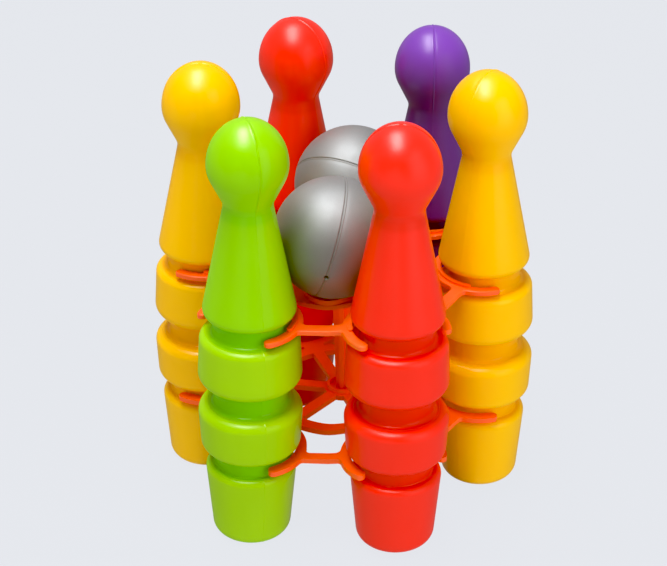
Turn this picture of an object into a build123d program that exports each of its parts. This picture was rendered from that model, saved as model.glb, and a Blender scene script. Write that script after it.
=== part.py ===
from build123d import *
import math
import os

# Toy skittle set: six hollow skittles snapped into a two-level moulded carrier,
# with two hollow balls standing on the carrier's tray. Millimetres, +Z up,
# origin on the floor at the middle of the hexagon of skittles.

# ---- driving dimensions -------------------------------------------------
# layout
PIN_CIRCLE = 90.0          # radius of the circle the skittles stand on
PIN_ANGLES = {
    "pin_yellow_right": 0.0,
    "pin_purple": 60.0,
    "pin_red_back": 120.0,
    "pin_yellow_left": 180.0,
    "pin_green": 240.0,
    "pin_red_front": 300.0,
}

# skittle (blow-moulded shell)
PIN_HEIGHT = 280.0
PIN_WALL = 1.6
HEAD_R = 23.4              # radius of the round head
HEAD_Z = 254.0             # height of the head's widest line
CROWN_R = 21.6             # tighter curve over the top of the head
NECK_R = 14.2              # slim neck under the head
NECK_Z = 230.0
NECK_FILLET = 15.2
GROOVE_R = 22.5            # radius at the bottom of the three grooves
CONE_R, CONE_Z = 29.0, 155.0          # lower edge of the long cone
DRUM2_TOP_R, DRUM2_TOP_Z = 30.15, 143.1
DRUM2_LOW_R, DRUM2_LOW_Z = 31.8, 109.2
DRUM1_TOP_R, DRUM1_TOP_Z = 32.15, 94.4
DRUM1_LOW_R, DRUM1_LOW_Z = 30.35, 62.9
BASE_TOP_R, BASE_TOP_Z = 28.3, 51.4
BASE_LOW_R = 23.8
BASE_FILLET = 7.5
PUSH_UP_R = 10.0           # shallow dished middle of the foot
PUSH_UP = 1.5
# heights where the one shell is divided into stacked zones (foot, two drums,
# cone, head), so that each zone is a simple, nearly convex solid
ZONE_CUTS = (52.4, 95.5, 144.2, 231.0)

# ball (blow-moulded shell)
BALL_R = 37.0
BALL_WALL = 1.6
BALL_OFFSET = 37.2         # each ball's distance from the middle, front and back
BALL_Z = 187.6

# clips, both levels
CLIP_HALF_OPENING = 65.0   # angle from the outward direction to each tip, degrees

# upper moulding: tray, six clips, hexagon of bars, seat lips, centre post
TOP_Z, TOP_T = 147.0, 3.0
TOP_CLIP_CIRCLE = 88.5
TOP_CLIP_MID, TOP_CLIP_W = 29.25, 6.1
RIDGE_MID, RIDGE_W, RIDGE_H = 27.6, 2.8, 1.5
RIDGE_HALF_OPENING = 100.0
TRAY_R = 54.8
TOP_WEB_W = 15.0
TOP_BAR_APOTHEM, TOP_BAR_W = 82.0, 8.0
SEAT_R_OUT, SEAT_R_IN, SEAT_H = 17.4, 14.6, 3.3
POST_RIB_T = 2.8
POST_HALF_TOP, POST_HALF_LOW = 7.2, 4.15
TENON_HALF = 3.4

# lower moulding: wheel, six clips, hexagon of bars, hub with a socket
LOW_Z, LOW_T = 55.3, 3.5
LOW_CLIP_CIRCLE = 87.0
LOW_CLIP_MID, LOW_CLIP_W = 29.55, 6.3
LOW_WEB_W = 14.0
LOW_BAR_APOTHEM, LOW_BAR_W = 81.9, 6.6
WHEEL_R_OUT, WHEEL_R_IN = 53.1, 45.2
SPOKE_W = 7.5
HUB_R = 12.0
COLLAR_R_OUT, COLLAR_R_IN, COLLAR_H = 10.0, 8.4, 2.8
SOCKET_GAP = 0.1           # all round the post's tenon

BAR_HALF_LENGTH = 17.0
BAR_CORNER = 3.0           # rounded inside corners where bars meet clips
EDGE = 0.8                 # softened upper edges of the mouldings

# the head's upper side runs into the crown along one arc, tangent to both
RISE = PIN_HEIGHT - CROWN_R - HEAD_Z
SIDE_R = (HEAD_R**2 + RISE**2 - CROWN_R**2) / (2 * (HEAD_R - CROWN_R))
JOIN_ANGLE = math.degrees(math.atan2(RISE, SIDE_R - HEAD_R))

os.makedirs("parts", exist_ok=True)


def tangent_point(r, z, head_r):
    """Point where a line from the neck corner touches the head circle."""
    base = math.atan2(z - HEAD_Z, r)
    off = math.acos(head_r / math.hypot(r, z - HEAD_Z))
    a = base + off
    return (head_r * math.cos(a), HEAD_Z + head_r * math.sin(a)), math.degrees(a)


def corners(t):
    """Corner points and fillet radii of the skittle's profile, moved in by t."""
    return [
        ((BASE_LOW_R - t, t), max(BASE_FILLET - t, 1.0)),
        ((BASE_TOP_R - t, BASE_TOP_Z - t), 4.3 - t),
        ((GROOVE_R - t, BASE_TOP_Z - t), 0.9 + t),
        ((GROOVE_R - t, DRUM1_LOW_Z + t), 1.6 + t),
        ((DRUM1_LOW_R - t, DRUM1_LOW_Z + t), 5.4 - t),
        ((DRUM1_TOP_R - t, DRUM1_TOP_Z - t), 7.0 - t),
        ((GROOVE_R - t, DRUM1_TOP_Z - t), 2.0 + t),
        ((GROOVE_R - t, DRUM2_LOW_Z + t), 1.4 + t),
        ((DRUM2_LOW_R - t, DRUM2_LOW_Z + t), 6.9 - t),
        ((DRUM2_TOP_R - t, DRUM2_TOP_Z - t), 4.8 - t),
        ((GROOVE_R - t, DRUM2_TOP_Z - t), 2.0 + t),
        ((GROOVE_R - t, CONE_Z + t), 0.9 + t),
        ((CONE_R - t, CONE_Z + t), 4.3 - t),
        ((NECK_R - t, NECK_Z), NECK_FILLET + t),
    ]


# ---- skittles ------------------------------------------------------------
for pin_name, pin_angle in PIN_ANGLES.items():
    px = PIN_CIRCLE * math.cos(math.radians(pin_angle))
    py = PIN_CIRCLE * math.sin(math.radians(pin_angle))
    axis_plane = Plane(origin=(px, py, 0), x_dir=(1, 0, 0), z_dir=(0, -1, 0))
    pin_axis = Axis((px, py, 0), (0, 0, 1))
    with BuildPart() as skittle:
        with BuildSketch(axis_plane) as wall_section:
            for t, mode in ((0.0, Mode.ADD), (PIN_WALL, Mode.SUBTRACT)):
                head_r = HEAD_R - t
                touch, touch_angle = tangent_point(NECK_R - t, NECK_Z, head_r)
                chain = corners(t)
                with BuildLine():
                    FilletPolyline(
                        (PUSH_UP_R + 2.0, t),
                        *[c[0] for c in chain],
                        touch,
                        radius=[c[1] for c in chain],
                    )
                    CenterArc((0, HEAD_Z), head_r, touch_angle, -touch_angle)
                    CenterArc((HEAD_R - SIDE_R, HEAD_Z), SIDE_R - t, 0, JOIN_ANGLE)
                    CenterArc(
                        (0, PIN_HEIGHT - CROWN_R), CROWN_R - t, JOIN_ANGLE, 90 - JOIN_ANGLE
                    )
                    Line((0, PIN_HEIGHT - t), (0, PUSH_UP + t))
                    Line((0, PUSH_UP + t), (PUSH_UP_R, PUSH_UP + t))
                    Line((PUSH_UP_R, PUSH_UP + t), (PUSH_UP_R + 2.0, t))
                make_face(mode=mode)
        revolve(axis=pin_axis)
        for cut_z in ZONE_CUTS:
            split(bisect_by=Plane.XY.offset(cut_z), keep=Keep.BOTH)
    skittle.part.label = pin_name
    export_step(skittle.part, f"parts/{pin_name}.step")
    print(pin_name, len(skittle.part.solids()), "zones", round(skittle.part.volume, 1))

# ---- balls ---------------------------------------------------------------
with BuildPart() as ball_front:
    with Locations((0, -BALL_OFFSET, BALL_Z)):
        Sphere(BALL_R)
        Sphere(BALL_R - BALL_WALL, mode=Mode.SUBTRACT)
ball_front.part.label = "ball_front"
export_step(ball_front.part, "parts/ball_front.step")

with BuildPart() as ball_back:
    with Locations((0, BALL_OFFSET, BALL_Z)):
        Sphere(BALL_R)
        Sphere(BALL_R - BALL_WALL, mode=Mode.SUBTRACT)
ball_back.part.label = "ball_back"
export_step(ball_back.part, "parts/ball_back.step")


def polar(radius, degrees):
    return (
        radius * math.cos(math.radians(degrees)),
        radius * math.sin(math.radians(degrees)),
    )


def clip_band(circle, mid, width, half_opening):
    """Six rounded C-shaped bands, open outwards, added to the current sketch."""
    for angle in PIN_ANGLES.values():
        with BuildLine(mode=Mode.PRIVATE) as path:
            CenterArc(
                polar(circle, angle), mid, angle + half_opening, 360 - 2 * half_opening
            )
        SlotArc(arc=path.edges()[0], height=width)


def inside_corners(sketch, apothem, width):
    """Vertices where the hexagon bars run into the clips."""
    found = []
    for v in sketch.vertices():
        for k in range(6):
            a = math.radians(30 + 60 * k)
            along = v.X * math.cos(a) + v.Y * math.sin(a)
            across = abs(-v.X * math.sin(a) + v.Y * math.cos(a))
            if abs(abs(along - apothem) - width / 2) < 0.05 and across < 20:
                found.append(v)
    return found


# ---- upper moulding --------------------------------------------------------
with BuildPart() as carrier_upper:
    with BuildSketch(Plane.XY.offset(TOP_Z)) as upper_plan:
        Circle(TRAY_R)
        clip_band(TOP_CLIP_CIRCLE, TOP_CLIP_MID, TOP_CLIP_W, CLIP_HALF_OPENING)
        with PolarLocations(53.5, 6):
            Rectangle(11.0, TOP_WEB_W)
        with PolarLocations(TOP_BAR_APOTHEM, 6, start_angle=30):
            Rectangle(TOP_BAR_W, 2 * BAR_HALF_LENGTH)
        fillet(inside_corners(upper_plan, TOP_BAR_APOTHEM, TOP_BAR_W), BAR_CORNER)
    extrude(amount=TOP_T)
    fillet(carrier_upper.faces().sort_by(Axis.Z)[-1].edges(), EDGE)
    # stiffening ridge on the inner half of each clip
    with BuildSketch(Plane.XY.offset(TOP_Z + TOP_T - 0.5)):
        clip_band(TOP_CLIP_CIRCLE, RIDGE_MID, RIDGE_W, RIDGE_HALF_OPENING)
    extrude(amount=RIDGE_H + 0.5)
    # lips that seat the two balls
    with BuildSketch(Plane.XY.offset(TOP_Z + TOP_T)):
        with Locations((0, -BALL_OFFSET), (0, BALL_OFFSET)):
            Circle(SEAT_R_OUT)
            Circle(SEAT_R_IN, mode=Mode.SUBTRACT)
    extrude(amount=SEAT_H)
    # tapered cross-section post, ending in a stepped tenon
    for rib_plane in (Plane.XZ, Plane.YZ):
        with BuildSketch(rib_plane):
            with BuildLine():
                Polyline(
                    (-POST_HALF_TOP, TOP_Z + 0.5),
                    (-POST_HALF_LOW, LOW_Z + LOW_T),
                    (-TENON_HALF, LOW_Z + LOW_T),
                    (-TENON_HALF, LOW_Z + 0.3),
                    (TENON_HALF, LOW_Z + 0.3),
                    (TENON_HALF, LOW_Z + LOW_T),
                    (POST_HALF_LOW, LOW_Z + LOW_T),
                    (POST_HALF_TOP, TOP_Z + 0.5),
                    close=True,
                )
            make_face()
        extrude(amount=POST_RIB_T / 2, both=True)
carrier_upper.part.label = "carrier_upper"
export_step(carrier_upper.part, "parts/carrier_upper.step")

# ---- lower moulding --------------------------------------------------------
with BuildPart() as carrier_lower:
    with BuildSketch(Plane.XY.offset(LOW_Z)) as lower_plan:
        Circle(WHEEL_R_OUT)
        Circle(WHEEL_R_IN, mode=Mode.SUBTRACT)
        clip_band(LOW_CLIP_CIRCLE, LOW_CLIP_MID, LOW_CLIP_W, CLIP_HALF_OPENING)
        with PolarLocations(52.0, 6):
            Rectangle(11.0, LOW_WEB_W)
        with PolarLocations(LOW_BAR_APOTHEM, 6, start_angle=30):
            Rectangle(LOW_BAR_W, 2 * BAR_HALF_LENGTH)
        fillet(inside_corners(lower_plan, LOW_BAR_APOTHEM, LOW_BAR_W), BAR_CORNER)
        with PolarLocations(25.0, 6):
            Rectangle(44.0, SPOKE_W)
        Circle(HUB_R)
    extrude(amount=LOW_T)
    # collar round the foot of the post
    with BuildSketch(Plane.XY.offset(LOW_Z + LOW_T)):
        Circle(COLLAR_R_OUT)
        Circle(COLLAR_R_IN, mode=Mode.SUBTRACT)
    extrude(amount=COLLAR_H)
    # cross-shaped socket for the tenon
    with BuildSketch(Plane.XY.offset(LOW_Z)):
        Rectangle(2 * (TENON_HALF + SOCKET_GAP), POST_RIB_T + 2 * SOCKET_GAP)
        Rectangle(POST_RIB_T + 2 * SOCKET_GAP, 2 * (TENON_HALF + SOCKET_GAP))
    extrude(amount=LOW_T, mode=Mode.SUBTRACT)
carrier_lower.part.label = "carrier_lower"
export_step(carrier_lower.part, "parts/carrier_lower.step")
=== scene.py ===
import math

import bmesh
import bpy
import numpy as np
from mathutils import Matrix, Vector


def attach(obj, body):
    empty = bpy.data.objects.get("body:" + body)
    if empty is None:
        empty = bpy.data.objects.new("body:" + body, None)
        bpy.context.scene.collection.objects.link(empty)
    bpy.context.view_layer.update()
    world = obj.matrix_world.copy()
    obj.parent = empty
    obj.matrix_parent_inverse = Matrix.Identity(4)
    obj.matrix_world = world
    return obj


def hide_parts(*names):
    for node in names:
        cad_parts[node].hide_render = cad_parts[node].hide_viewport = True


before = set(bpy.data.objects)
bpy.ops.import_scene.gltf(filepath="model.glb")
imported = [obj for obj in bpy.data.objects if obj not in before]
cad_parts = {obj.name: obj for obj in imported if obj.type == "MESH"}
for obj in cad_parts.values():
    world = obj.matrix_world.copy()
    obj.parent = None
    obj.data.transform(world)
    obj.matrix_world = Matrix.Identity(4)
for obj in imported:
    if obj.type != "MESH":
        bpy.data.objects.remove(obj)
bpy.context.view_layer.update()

MM = 0.001
scene = bpy.context.scene
scene.view_settings.view_transform = "Standard"
scene.view_settings.look = "None"
scene.view_settings.exposure = 0.0
scene.view_settings.gamma = 1.0
# a slight contrast curve: the faint bluish veil is taken out of the darkest tones
scene.view_settings.use_curve_mapping = True
scene.view_settings.curve_mapping.black_level = (0.0, 0.012, 0.034)
scene.view_settings.curve_mapping.update()

# ---------------------------------------------------------------- sizes, mm
PIN_CIRCLE = 90.0
GLOW_INNER = 92.0
# body, colour, azimuth of the skittle, azimuth of its mould seam, how far it stands from its ideal place (x, y),
# its lean (x, y, in parts of its height) and the height that the lean turns about
PINS = {
    "pin_green": ("skittle_green", "green", 240.0, -61.0, (0.4, -0.6), (0.011, 0.0, 60.0)),
    "pin_red_front": ("skittle_red_front", "red", 300.0, 5.0, (-0.2, -0.3), (-0.003, 0.0, 250.0)),
    "pin_yellow_right": ("skittle_yellow_right", "yellow", 0.0, -116.0, (0.1, -1.0), (-0.0155, 0.0, 25.0)),
    "pin_purple": ("skittle_purple", "purple", 60.0, -81.0, (0.4, 0.3), (-0.006, 0.0, 100.0)),
    "pin_red_back": ("skittle_red_back", "red", 120.0, -27.0, (0.3, 0.35), (0.0095, 0.0, 100.0)),
    "pin_yellow_left": ("skittle_yellow_left", "yellow", 180.0, 6.0, (0.2, -1.6), (0.0195, -0.009, 100.0)),
}
# The carrier is a little sprung: its clips at these azimuths stand higher than the rest, with their skittles.
# azimuth: (mm higher, degrees either side that are flat, degrees either side where it ends)
SPRUNG = {0.0: (5.5, 20.0, 44.0), 300.0: (3.6, 13.0, 35.0)}
FRONT_BALL = (0.25, -36.9, 187.6)         # its centre
# and the upper clips at these azimuths are drawn in towards the middle (mm at their tips)
DRAWN = {0.0: 3.2, 180.0: 2.5}
SPRUNG_IN, SPRUNG_OUT = 22.0, 70.0        # radii between which the frame bends up


def smooth(t):
    t = min(max(t, 0.0), 1.0)
    return t * t * (3 - 2 * t)


def sprung(x, y):
    """How much higher than nominal the carrier stands at a place (mm)."""
    out = smooth((math.hypot(x, y) - SPRUNG_IN) / (SPRUNG_OUT - SPRUNG_IN))
    az = math.degrees(math.atan2(y, x))
    up = 0.0
    for at, (most, flat, end) in SPRUNG.items():
        off = abs((az - at + 180) % 360 - 180)
        up += most * smooth((end - off) / (end - flat))
    return out * up


def drawn(x, y):
    """How far the upper moulding is drawn in towards the middle at a place (mm)."""
    out = min(max((math.hypot(x, y) - 57.0) / 44.0, 0.0), 1.1)
    az = math.degrees(math.atan2(y, x))
    far = 0.0
    for at, most in DRAWN.items():
        off = abs((az - at + 180) % 360 - 180)
        far += most * smooth((46.0 - off) / 26.0)
    return out * far


# ---------------------------------------------------------------- helpers
def new_object(name, verts, faces, material, smooth=True):
    mesh = bpy.data.meshes.new(name)
    mesh.from_pydata([tuple(v) for v in np.asarray(verts) * MM], [], faces)
    mesh.validate(clean_customdata=False)
    ob = bpy.data.objects.new(name, mesh)
    scene.collection.objects.link(ob)
    mesh.materials.append(material)
    if smooth:
        mesh.polygons.foreach_set("use_smooth", [True] * len(mesh.polygons))
    mesh.update()
    return ob


def filleted(chain, step=6.0):
    """Points along straight runs joined by arcs. chain: (r, z, fillet radius)."""
    out = [np.array(chain[0][:2], float)]
    for i in range(1, len(chain) - 1):
        p0, p, p1 = (np.array(chain[j][:2], float) for j in (i - 1, i, i + 1))
        f = chain[i][2]
        a, b = p0 - p, p1 - p
        la, lb = np.linalg.norm(a), np.linalg.norm(b)
        a, b = a / la, b / lb
        ang = math.acos(float(np.clip(a @ b, -1, 1)))
        if f <= 0:
            out.append(p)
            continue
        t = f / math.tan(ang / 2)
        mid = (a + b) / np.linalg.norm(a + b)
        ctr = p + mid * (f / math.sin(ang / 2))
        v0, v1 = p + a * t - ctr, p + b * t - ctr
        a0, a1 = math.atan2(v0[1], v0[0]), math.atan2(v1[1], v1[0])
        d = (a1 - a0 + math.pi) % (2 * math.pi) - math.pi
        n = max(4, int(abs(math.degrees(d)) / step))
        for k in range(n + 1):
            q = a0 + d * k / n
            out.append(ctr + f * np.array([math.cos(q), math.sin(q)]))
    out.append(np.array(chain[-1][:2], float))
    return out


def spread(points, longest):
    """Adds points so that no step is longer than asked."""
    out = [points[0]]
    for p in points[1:]:
        n = max(1, int(math.ceil(np.linalg.norm(p - out[-1]) / longest)))
        start = out[-1]
        for k in range(1, n + 1):
            out.append(start + (p - start) * k / n)
    return out


def pin_profile():
    """Outer profile of a skittle from the middle of its foot to the top of its head."""
    # the head is a ball, a little taller above its middle and flatter below it
    head_z, head_r, crown, under = 252.6, 23.85, 27.4, 22.6
    nr, nz = 14.4, 228.3
    drop = (nz - head_z) * head_r / under
    th = math.atan2(drop, nr) + math.acos(head_r / math.hypot(nr, drop))
    touch = (head_r * math.cos(th), head_z + under * math.sin(th), 0)
    chain = [
        (0, 1.5, 0),
        (10.0, 1.5, 1.2),
        (12.2, 0.0, 1.0),
        (23.8, 0.0, 7.4),
        (28.3, 51.4, 4.3),
        (22.5, 51.4, 1.45),
        (22.5, 62.9, 2.6),
        (30.35, 62.9, 5.2),
        (32.15, 94.4, 6.2),
        (22.5, 94.4, 3.4),
        (22.5, 109.2, 2.5),
        (31.8, 109.2, 6.7),
        (30.15, 143.1, 4.8),
        (22.5, 143.1, 2.8),
        (22.5, 155.0, 1.6),
        (29.0, 155.0, 4.7),
        (nr, nz, 9.0),
        touch,
    ]
    low = filleted(chain)
    head = []
    for k in range(1, 11):
        q = th + (0 - th) * k / 10
        head.append(np.array([head_r * math.cos(q), head_z + under * math.sin(q)]))
    for k in range(1, 23):
        q = math.pi / 2 * k / 22
        head.append(np.array([head_r * math.cos(q), head_z + crown * math.sin(q)]))
    head[-1][0] = 0.0
    return np.array(spread(low + head, 3.0))


def seam_angles(seams, regular, offsets):
    """Angles round a turned piece, crowded together at each mould seam."""
    out = []
    for k in range(regular):
        a = 360.0 * k / regular
        near = min(abs((a - s + 180) % 360 - 180) for s in seams)
        if near > offsets[-1] + 0.6 * 360 / regular:
            out.append(a)
    for s in seams:
        out += [s]
        for o in offsets:
            out += [s - o, s + o]
    return sorted(a % 360 for a in out)


def seam_strength(z, trimmed=False):
    """The mould line is sharp on the head, faint lower down. A trimmed one shows only on the crown."""
    if trimmed:
        return 0.12 + 0.88 * smooth((z - 262) / 12)
    if z > 236:
        return 1.0
    if z > 228:
        return 0.45 + 0.55 * (z - 228) / 8
    return 0.45 if z > 150 else 0.38


def depth_in_grooves(profile):
    """How deep each point of the profile lies below the drums beside it, from 0 to 1. This is how much painted shade
    darkens the colour there in the grooves.
    """
    out = []
    for r, z in profile:
        above = [p[0] for p in profile if z <= p[1] <= z + 16]
        below = [p[0] for p in profile if z - 16 <= p[1] <= z]
        out.append(smooth((min(max(above), max(below)) - r) / 6.5) if z > 30 else 0.0)
    return out


def turned(name, profile, centre, seam, material, ridge=0.34, width=0.33, proud=0.1, regular=96, nubs=(), lean=(0.0, 0.0, 0.0), trimmed=False):
    """A turned shell with a raised mould seam in one vertical plane through its axis, and a shallow groove beside the seam. One half stands a hair proud of the other."""
    seams = (seam % 360, (seam + 180) % 360)
    angles = seam_angles(seams, regular, (0.4, 0.8, 1.25, 1.8, 2.6))
    n = len(angles)
    verts, faces = [], []
    rows, groove_shade_by_point = [], []
    groove_shade_by_row = depth_in_grooves(profile)
    tang = np.gradient(profile, axis=0)
    norm = np.stack([tang[:, 1], -tang[:, 0]], 1)
    norm /= np.linalg.norm(norm, axis=1)[:, None] + 1e-9
    for i, (r, z) in enumerate(profile):
        if r < 1e-6:
            rows.append([len(verts)])
            verts.append((0.0, 0.0, z))
            groove_shade_by_point.append(0.0)
            continue
        row = []
        for a in angles:
            off = [(a - q + 180) % 360 - 180 for q in seams]
            k = 0 if abs(off[0]) < abs(off[1]) else 1
            arc = math.radians(off[k]) * r * (1 if k == 0 else -1)
            h = 0.0
            if z > 1.6:
                h = ridge * math.exp(-((arc / width) ** 2))
                if z > 228:
                    h -= 0.75 * ridge * math.exp(-(((arc - 0.75) / 0.36) ** 2))
                h += proud * math.tanh(arc / 0.3) * math.exp(-((arc / 1.6) ** 2))
                h *= seam_strength(z, trimmed)
            for nz, na, size in nubs:
                d = math.hypot(z - nz, math.radians((a - na + 180) % 360 - 180) * r)
                h += 0.35 * size * math.exp(-((d / size) ** 2))
            rr, zz = r + norm[i, 0] * h, z + norm[i, 1] * h
            row.append(len(verts))
            verts.append((rr * math.cos(math.radians(a)), rr * math.sin(math.radians(a)), zz))
            groove_shade_by_point.append(groove_shade_by_row[i])
        rows.append(row)
    for a, b in zip(rows[:-1], rows[1:]):
        for k in range(n):
            j = (k + 1) % n
            if len(a) == 1:
                faces.append((a[0], b[j], b[k]))
            elif len(b) == 1:
                faces.append((a[k], a[j], b[0]))
            else:
                faces.append((a[k], a[j], b[j], b[k]))
    # the lean turns the whole shell, which then rests on the low side of its foot
    v = np.array(verts)
    sx, sy, turn = lean
    tilt = math.hypot(sx, sy)
    if tilt:
        axis = Vector((-sy, sx, 0)).normalized()
        turned_by = np.array(Matrix.Rotation(math.atan(tilt), 3, axis))
        v = (v - (0, 0, turn)) @ turned_by.T + (0, 0, turn)
        v[:, 2] -= v[:, 2].min()
    v += np.array(centre)
    ob = new_object(name, v, faces, material)
    # painted shade: each point stores how far down in a groove it lies, and its material darkens the colour by that
    # much
    groove_shade = ob.data.attributes.new("groove_shade", "FLOAT", "POINT")
    groove_shade.data.foreach_set("value", groove_shade_by_point)
    return ob


# ---------------------------------------------------------------- materials
def nodes_of(name):
    mat = bpy.data.materials.new(name)
    mat.use_nodes = True
    tree = mat.node_tree
    tree.nodes.clear()
    out = tree.nodes.new("ShaderNodeOutputMaterial")
    shader = tree.nodes.new("ShaderNodeBsdfPrincipled")
    tree.links.new(shader.outputs[0], out.inputs[0])
    return mat, tree, shader


def srgb(r, g, b):
    def lin(c):
        c /= 255.0
        return c / 12.92 if c <= 0.04045 else ((c + 0.055) / 1.055) ** 2.4
    return (lin(r), lin(g), lin(b), 1.0)


def moulded_plastic(name, main, deep, pale, rough=0.36, scatter=0.08, scatter_radius=(3, 2, 1), sheen_of_gloss=(1, 1, 1), gloss=0.7, height_tint_and_shade=None, height_tint_and_shade_range=(0.140, 0.158), groove_shade_tint=None):
    """Satin moulded plastic: faint flow marks in the colour, a little haze in the gloss, fine pebble and slow waves in the surface."""
    mat, tree, sh = nodes_of(name)
    add, link = tree.nodes.new, tree.links.new
    co = add("ShaderNodeTexCoord")
    flow = add("ShaderNodeMapping")
    flow.inputs["Scale"].default_value = (1.0, 1.0, 0.35)
    link(co.outputs["Object"], flow.inputs["Vector"])
    broad = add("ShaderNodeTexNoise")
    broad.inputs["Scale"].default_value = 22.0
    broad.inputs["Detail"].default_value = 3.0
    link(flow.outputs[0], broad.inputs["Vector"])
    ramp = add("ShaderNodeValToRGB")
    ramp.color_ramp.elements[0].position = 0.28
    ramp.color_ramp.elements[0].color = deep
    ramp.color_ramp.elements[1].position = 0.72
    ramp.color_ramp.elements[1].color = pale
    mid = ramp.color_ramp.elements.new(0.5)
    mid.color = main
    link(broad.outputs["Fac"], ramp.inputs["Fac"])
    colour = ramp.outputs["Color"]
    if height_tint_and_shade:
        # the colour changes with height: on the green, from the upper drum up, it is a little less red; on the purple,
        # painted shade darkens the lower part of the head and all below it
        height = add("ShaderNodeSeparateXYZ")
        link(co.outputs["Object"], height.inputs[0])
        upper = add("ShaderNodeMapRange")
        upper.inputs["From Min"].default_value = height_tint_and_shade_range[0]
        upper.inputs["From Max"].default_value = height_tint_and_shade_range[1]
        link(height.outputs["Z"], upper.inputs["Value"])
        tint = add("ShaderNodeMix")
        tint.data_type = "RGBA"
        tint.blend_type = "MULTIPLY"
        link(upper.outputs[0], tint.inputs["Factor"])
        link(ramp.outputs["Color"], tint.inputs["A"])
        tint.inputs["B"].default_value = (*height_tint_and_shade, 1)
        colour = tint.outputs["Result"]
    if groove_shade_tint:
        # painted shade: the colour is darkened in the grooves, where shade falls
        groove_shade = add("ShaderNodeAttribute")
        groove_shade.attribute_name = "groove_shade"
        groove_shade_mix = add("ShaderNodeMix")
        groove_shade_mix.data_type = "RGBA"
        groove_shade_mix.blend_type = "MULTIPLY"
        link(groove_shade.outputs["Fac"], groove_shade_mix.inputs["Factor"])
        link(colour, groove_shade_mix.inputs["A"])
        groove_shade_mix.inputs["B"].default_value = (*groove_shade_tint, 1)
        colour = groove_shade_mix.outputs["Result"]
    link(colour, sh.inputs["Base Color"])
    haze = add("ShaderNodeTexNoise")
    haze.inputs["Scale"].default_value = 60.0
    haze.inputs["Detail"].default_value = 4.0
    link(co.outputs["Object"], haze.inputs["Vector"])
    span = add("ShaderNodeMapRange")
    span.inputs["From Min"].default_value = 0.3
    span.inputs["From Max"].default_value = 0.7
    span.inputs["To Min"].default_value = rough - 0.03
    span.inputs["To Max"].default_value = rough + 0.04
    link(haze.outputs["Fac"], span.inputs["Value"])
    link(span.outputs[0], sh.inputs["Roughness"])
    wave = add("ShaderNodeTexNoise")
    wave.inputs["Scale"].default_value = 45.0
    wave.inputs["Detail"].default_value = 1.0
    link(co.outputs["Object"], wave.inputs["Vector"])
    slow = add("ShaderNodeBump")
    slow.inputs["Strength"].default_value = 0.25
    slow.inputs["Distance"].default_value = 0.0006
    link(wave.outputs["Fac"], slow.inputs["Height"])
    grain = add("ShaderNodeTexNoise")
    grain.inputs["Scale"].default_value = 2600.0
    grain.inputs["Detail"].default_value = 2.0
    link(co.outputs["Object"], grain.inputs["Vector"])
    fine = add("ShaderNodeBump")
    fine.inputs["Strength"].default_value = 0.12
    fine.inputs["Distance"].default_value = 0.00006
    link(grain.outputs["Fac"], fine.inputs["Height"])
    link(slow.outputs[0], fine.inputs["Normal"])
    link(fine.outputs[0], sh.inputs["Normal"])
    sh.inputs["IOR"].default_value = 1.5
    sh.inputs["Specular IOR Level"].default_value = gloss
    sh.inputs["Specular Tint"].default_value = (*sheen_of_gloss, 1)
    sh.inputs["Subsurface Weight"].default_value = scatter
    sh.inputs["Subsurface Radius"].default_value = scatter_radius
    sh.inputs["Subsurface Scale"].default_value = 0.001
    return mat


def tones(linear, spread=0.06):
    """Main, deep and pale tones of one plastic from its reflectance (linear red, green, blue)."""
    out = []
    for k in (1.0, 1.0 - spread, 1.0 + spread):
        out.append((*(min(c * k, 1.0) for c in linear), 1.0))
    return out


# the groove tints are painted shade: they darken each plastic in the grooves
PLASTIC = {
    # green: above the upper drum the colour is a little less red
    "green": moulded_plastic("plastic_lime", *tones((0.35, 0.66, 0.0)), scatter_radius=(2, 3, 0.5), height_tint_and_shade=(0.78, 0.98, 1.0), groove_shade_tint=(0.5, 0.9, 1.0), gloss=0.85),
    "red": moulded_plastic("plastic_red", *tones((0.97, 0.016, 0.0165)), scatter_radius=(4, 1, 0.5), groove_shade_tint=(0.82, 0.2, 0.2)),
    "yellow": moulded_plastic("plastic_yellow", *tones((1.0, 0.53, 0.0)), scatter_radius=(3, 2.5, 0.5), sheen_of_gloss=(1, 0.9, 1), groove_shade_tint=(0.94, 0.78, 1.0)),
    # purple: painted shade, the lower part of the head and all below it darker than the top of the head
    "purple": moulded_plastic("plastic_purple", *tones((0.195, 0.05, 0.45)), scatter_radius=(2, 1, 3), height_tint_and_shade=(0.59, 0.4, 0.52), height_tint_and_shade_range=(0.270, 0.242), groove_shade_tint=(0.8, 0.8, 0.8)),
}
CARRIER = moulded_plastic("plastic_orange", *tones((1.0, 0.126, 0.036)), gloss=0.5, rough=0.4, scatter_radius=(4, 1.5, 0.5))


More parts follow.
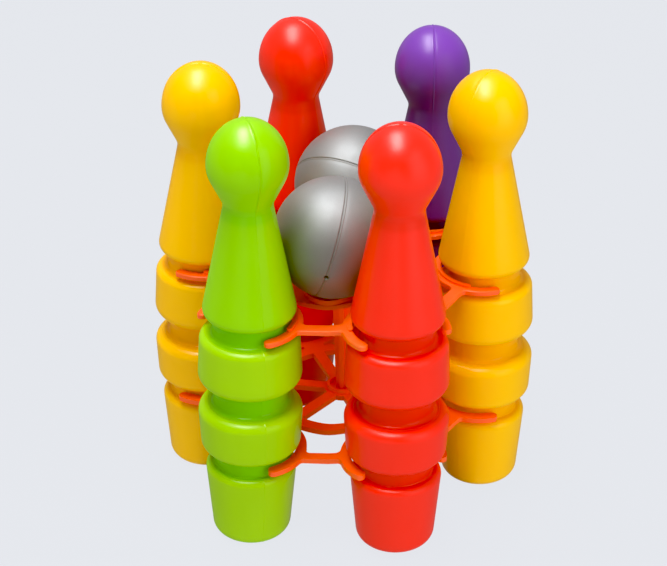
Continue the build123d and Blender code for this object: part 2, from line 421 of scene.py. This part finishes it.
def silver_plastic(name):
    """Pearl-silver coating on a moulded ball: fine metal flakes, soft sheen and faint rub marks."""
    mat, tree, sh = nodes_of(name)
    add, link = tree.nodes.new, tree.links.new
    co = add("ShaderNodeTexCoord")
    cloud = add("ShaderNodeTexNoise")
    cloud.inputs["Scale"].default_value = 30.0
    cloud.inputs["Detail"].default_value = 4.0
    link(co.outputs["Object"], cloud.inputs["Vector"])
    ramp = add("ShaderNodeValToRGB")
    ramp.color_ramp.elements[0].position = 0.3
    ramp.color_ramp.elements[0].color = srgb(163, 166, 169)
    ramp.color_ramp.elements[1].position = 0.7
    ramp.color_ramp.elements[1].color = srgb(173, 176, 179)
    link(cloud.outputs["Fac"], ramp.inputs["Fac"])
    flake = add("ShaderNodeTexVoronoi")
    flake.inputs["Scale"].default_value = 3000.0
    link(co.outputs["Object"], flake.inputs["Vector"])
    flake_span = add("ShaderNodeMapRange")
    flake_span.inputs["To Min"].default_value = 0.93
    flake_span.inputs["To Max"].default_value = 1.05
    link(flake.outputs["Distance"], flake_span.inputs["Value"])
    mix = add("ShaderNodeMix")
    mix.data_type = "RGBA"
    mix.blend_type = "MULTIPLY"
    mix.inputs["Factor"].default_value = 1.0
    link(ramp.outputs["Color"], mix.inputs["A"])
    link(flake_span.outputs[0], mix.inputs["B"])
    link(mix.outputs["Result"], sh.inputs["Base Color"])
    rub = add("ShaderNodeTexNoise")
    rub.inputs["Scale"].default_value = 90.0
    rub.inputs["Detail"].default_value = 5.0
    link(co.outputs["Object"], rub.inputs["Vector"])
    span = add("ShaderNodeMapRange")
    span.inputs["From Min"].default_value = 0.3
    span.inputs["From Max"].default_value = 0.7
    span.inputs["To Min"].default_value = 0.6
    span.inputs["To Max"].default_value = 0.66
    link(rub.outputs["Fac"], span.inputs["Value"])
    link(span.outputs[0], sh.inputs["Roughness"])
    bump = add("ShaderNodeBump")
    bump.inputs["Strength"].default_value = 0.15
    bump.inputs["Distance"].default_value = 0.0001
    link(flake.outputs["Distance"], bump.inputs["Height"])
    link(bump.outputs[0], sh.inputs["Normal"])
    sh.inputs["Metallic"].default_value = 0.82
    return mat


SILVER = silver_plastic("plastic_silver")

# ---------------------------------------------------------------- skittles
profile = pin_profile()
for node, (body, colour, at, seam, shift, lean) in PINS.items():
    a = math.radians(at)
    px, py = PIN_CIRCLE * math.cos(a), PIN_CIRCLE * math.sin(a)
    centre = (px + shift[0], py + shift[1], sprung(px, py))
    nubs = ((77.0, seam, 0.9), (266.0, seam + 1.5, 1.3), (259.0, seam - 1.0, 1.0)) if node == "pin_green" else ()
    trimmed = colour == "yellow" or node == "pin_red_front"
    pin = turned(node + "_shell", profile, centre, seam, PLASTIC[colour], nubs=nubs, lean=lean, trimmed=trimmed)
    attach(pin, body)
    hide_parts(node)


# ---------------------------------------------------------------- balls
def moulded_ball(name, centre, radius, plane_normal, plane_offset, material, vent=None):
    """A hollow ball moulded in two halves. The seam is a thin raised line with a shallow groove beside it, and one half stands a hair proud. vent is a small blow hole."""
    n = Vector(plane_normal).normalized()
    q = n.orthogonal().normalized()
    if vent:
        q = (Vector(vent) - n * Vector(vent).dot(n)).normalized()
    w = n.cross(q)
    lat0 = math.asin(plane_offset / radius)
    lats = {lat0}
    for d in (0.2, 0.4, 0.6, 0.8, 1.05, 1.3, 1.7, 2.2, 3.0):
        lats |= {lat0 + d / radius, lat0 - d / radius}
    for sign in (1, -1):
        x = lat0 + sign * (3.0 / radius + math.radians(2.5))
        while abs(x) < math.radians(88.5):
            lats.add(x)
            x += sign * math.radians(3.0)
    lats = sorted(lats)
    turns = {math.radians(3.0 * k) for k in range(120)}
    if vent:
        turns = {t for t in turns if min(t, 2 * math.pi - t) > math.radians(3.4)}
        turns.add(0.0)
        for d in (0.2, 0.4, 0.6, 0.8, 1.05, 1.4, 1.9):
            turns |= {d / radius, 2 * math.pi - d / radius}
    turns = sorted(turns)
    count = len(turns)
    verts, rows, faces = [], [], []
    rows.append([0])
    verts.append(tuple(Vector(centre) - n * radius))
    hole = Vector(vent) if vent else None
    for lat in lats:
        arc = (lat - lat0) * radius
        h = 0.1 * math.exp(-((arc / 0.3) ** 2)) - 0.6 * math.exp(-(((arc - 0.66) / 0.33) ** 2))
        h += 0.12 * math.tanh(arc / 0.35) * math.exp(-((arc / 1.9) ** 2))
        row = []
        for t in turns:
            d = n * math.sin(lat) + (q * math.cos(t) + w * math.sin(t)) * math.cos(lat)
            r = radius + h
            if hole:
                away = (d * radius - hole).length
                r -= 3.0 * smooth((1.45 - away) / 0.6)
            row.append(len(verts))
            verts.append(tuple(Vector(centre) + d * r))
        rows.append(row)
    rows.append([len(verts)])
    verts.append(tuple(Vector(centre) + n * radius))
    for a, b in zip(rows[:-1], rows[1:]):
        for k in range(count):
            j = (k + 1) % count
            if len(a) == 1:
                faces.append((a[0], b[j], b[k]))
            elif len(b) == 1:
                faces.append((a[k], a[j], b[0]))
            else:
                faces.append((a[k], a[j], b[j], b[k]))
    return new_object(name, verts, faces, material)


front_ball = moulded_ball("ball_front_shell", FRONT_BALL, 37.0, (-0.940, -0.185, 0.288), 2.9, SILVER, vent=(1.52, -36.17, -7.63))
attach(front_ball, "ball_front")
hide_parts("ball_front")
back_ball = moulded_ball("ball_back_shell", (0.2, 37.2, 187.6), 37.0, (0.217, 0.793, 0.569), -5.17, SILVER)
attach(back_ball, "ball_back")
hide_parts("ball_back")

# ---------------------------------------------------------------- carrier
def sprung_copy(node, name):
    """A copy of a carrier moulding, cut fine enough to bend, and bent where the frame is sprung."""
    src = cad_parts[node]
    mesh = src.data.copy()
    mesh.name = name
    bm = bmesh.new()
    bm.from_mesh(mesh)
    bmesh.ops.remove_doubles(bm, verts=bm.verts, dist=2e-6)
    bmesh.ops.dissolve_degenerate(bm, edges=bm.edges, dist=1e-6)
    # radial cuts where the bend turns, and rings where it rises
    for x in range(-4, 26):
        co = (0.004 * x + 0.0205, 0.0, 0.0)
        geom = [v for v in bm.verts] + [e for e in bm.edges] + [f for f in bm.faces]
        bmesh.ops.bisect_plane(bm, geom=geom, plane_co=co, plane_no=(1, 0, 0), dist=1e-6)
    for y in range(-25, 12):
        co = (0.0, 0.004 * y + 0.0013, 0.0)
        geom = [v for v in bm.verts] + [e for e in bm.edges] + [f for f in bm.faces]
        bmesh.ops.bisect_plane(bm, geom=geom, plane_co=co, plane_no=(0, 1, 0), dist=1e-6)
    for v in bm.verts:
        x, y = v.co.x / MM, v.co.y / MM
        v.co.z += sprung(x, y) * MM
        if node == "carrier_upper":
            v.co.x -= math.copysign(drawn(x, y), x) * MM
            # the front ball presses its seat flat where the frame bends up
            across = math.hypot(v.co.x / MM - FRONT_BALL[0], v.co.y / MM - FRONT_BALL[1])
            if across < 37.1:
                seat = FRONT_BALL[2] - math.sqrt(37.1 ** 2 - across ** 2)
                if seat < v.co.z / MM < FRONT_BALL[2]:
                    v.co.z = seat * MM
    bmesh.ops.triangulate(bm, faces=[f for f in bm.faces if len(f.verts) > 4])
    bm.to_mesh(mesh)
    bm.free()
    if mesh.has_custom_normals:
        mesh.attributes.remove(mesh.attributes["custom_normal"]) if "custom_normal" in mesh.attributes else None
    mesh.polygons.foreach_set("use_smooth", [True] * len(mesh.polygons))
    mesh.set_sharp_from_angle(angle=math.radians(32))
    mesh.materials.clear()
    mesh.materials.append(CARRIER)
    mesh.update()
    ob = bpy.data.objects.new(name, mesh)
    scene.collection.objects.link(ob)
    return ob


for node in ("carrier_upper", "carrier_lower"):
    copy = sprung_copy(node, node + "_moulding")
    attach(copy, "carrier")
    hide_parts(node)

# ---------------------------------------------------------------- floor, light, camera
def glowing(name, strength):
    mat, tree, sh = nodes_of(name)
    sh.inputs["Base Color"].default_value = (0.02, 0.02, 0.02, 1)
    sh.inputs["Roughness"].default_value = 1.0
    sh.inputs["Specular IOR Level"].default_value = 0.0
    sh.inputs["Emission Color"].default_value = srgb(229, 232, 238)
    sh.inputs["Emission Strength"].default_value = strength
    return mat


def ring(name, inner, outer, z, material):
    around = [math.radians(15 * k) for k in range(24)]
    verts = [(r * math.cos(t), r * math.sin(t), z) for r in (inner, outer) for t in around]
    return new_object(name, verts, [(k, 24 + k, 24 + (k + 1) % 24, (k + 1) % 24) for k in range(24)], material, smooth=False)


floor = new_object("floor", [(-6000, -6000, 0), (6000, -6000, 0), (6000, 6000, 0), (-6000, 6000, 0)], [(0, 1, 2, 3)], glowing("floor_pale", 0.97), smooth=False)
floor.visible_glossy = False
floor.visible_diffuse = False
# the light that the floor sends back comes from around the set: the floor between the skittles is in their shade
glow = ring("floor_glow", GLOW_INNER, 6000.0, -0.5, glowing("floor_light", 1.08))
glow.visible_glossy = False
glow.visible_camera = False
# and its reflection in the gloss is faint
sheen = ring("floor_sheen", GLOW_INNER, 6000.0, -1.0, glowing("floor_reflection", 0.3))
sheen.visible_diffuse = False
sheen.visible_camera = False

# a pale room: bright behind and overhead, darker on the viewer's side
world = bpy.data.worlds.new("studio")
scene.world = world
world.use_nodes = True
wt = world.node_tree
bg = wt.nodes["Background"]
w_co = wt.nodes.new("ShaderNodeTexCoord")
w_sep = wt.nodes.new("ShaderNodeSeparateXYZ")
wt.links.new(w_co.outputs["Generated"], w_sep.inputs[0])
w_map = wt.nodes.new("ShaderNodeMapRange")
w_map.interpolation_type = "SMOOTHSTEP"
w_map.inputs["From Min"].default_value = -0.6
w_map.inputs["From Max"].default_value = 0.7
w_map.inputs["To Min"].default_value = 0.08
w_map.inputs["To Max"].default_value = 0.42
wt.links.new(w_sep.outputs["Y"], w_map.inputs["Value"])
wt.links.new(w_map.outputs[0], bg.inputs["Strength"])
bg.inputs["Color"].default_value = srgb(248, 249, 255)


def softbox(name, at, aim, long_way, wide, long, watts, colour=(1, 1, 1)):
    """A rectangular soft light at a place, facing aim, its long side lying the way asked."""
    light = bpy.data.lights.new(name, "AREA")
    light.shape = "RECTANGLE"
    light.size, light.size_y = wide, long
    light.energy = watts
    light.color = colour
    ob = bpy.data.objects.new(name, light)
    scene.collection.objects.link(ob)
    z = (Vector(at) - Vector(aim)).normalized()
    y = Vector(long_way)
    y = (y - z * y.dot(z)).normalized()
    x = y.cross(z)
    ob.matrix_world = Matrix(((x.x, y.x, z.x, at[0]), (x.y, y.y, z.y, at[1]), (x.z, y.z, z.z, at[2]), (0, 0, 0, 1)))
    return ob


AIM = (0, 0, 0.2)
softbox("overhead", (-0.36, -0.3, 2.6), AIM, (-0.157, 0.988, 0), 0.95, 2.3, 75, (1.0, 0.98, 0.95))
# soft fills: they light the sides, and leave no second highlight on the gloss
for fill in (
    softbox("fill_left", (-1.5, -0.5, 0.7), AIM, (0, 1, 0), 1.4, 1.2, 4.5),
    softbox("fill_right", (1.25, -0.85, 0.7), AIM, (0, 1, 0), 1.4, 1.2, 15),
    softbox("fill_front", (-0.3, -1.7, 0.32), (0, 0, 0.06), (0, 0, 1), 1.4, 0.6, 4.0, (1.0, 0.93, 0.88)),
):
    fill.visible_glossy = False

# light that comes through the red and orange walls into the middle
inside = softbox("inside", (0, 0, 0.135), (0, 0, 0), (0, 1, 0), 0.08, 0.08, 0.016, (1.0, 0.22, 0.1))
inside.visible_glossy = False
inside.visible_camera = False

CAM_AT = Vector((0.15902, -1.00252, 0.70685))
CAM_TO = Vector((-0.009648, 0.021998, 0.122694))
cam = bpy.data.cameras.new("camera")
cam.sensor_width = 36.0
cam.lens = 36.0 * 1846.757 / 667.0
cam_ob = bpy.data.objects.new("camera", cam)
scene.collection.objects.link(cam_ob)
cam_ob.location = CAM_AT
rot = (CAM_TO - CAM_AT).to_track_quat("-Z", "Y")
cam_ob.rotation_mode = "QUATERNION"
cam_ob.rotation_quaternion = rot
cam.clip_start, cam.clip_end = 0.05, 30.0
scene.camera = cam_ob
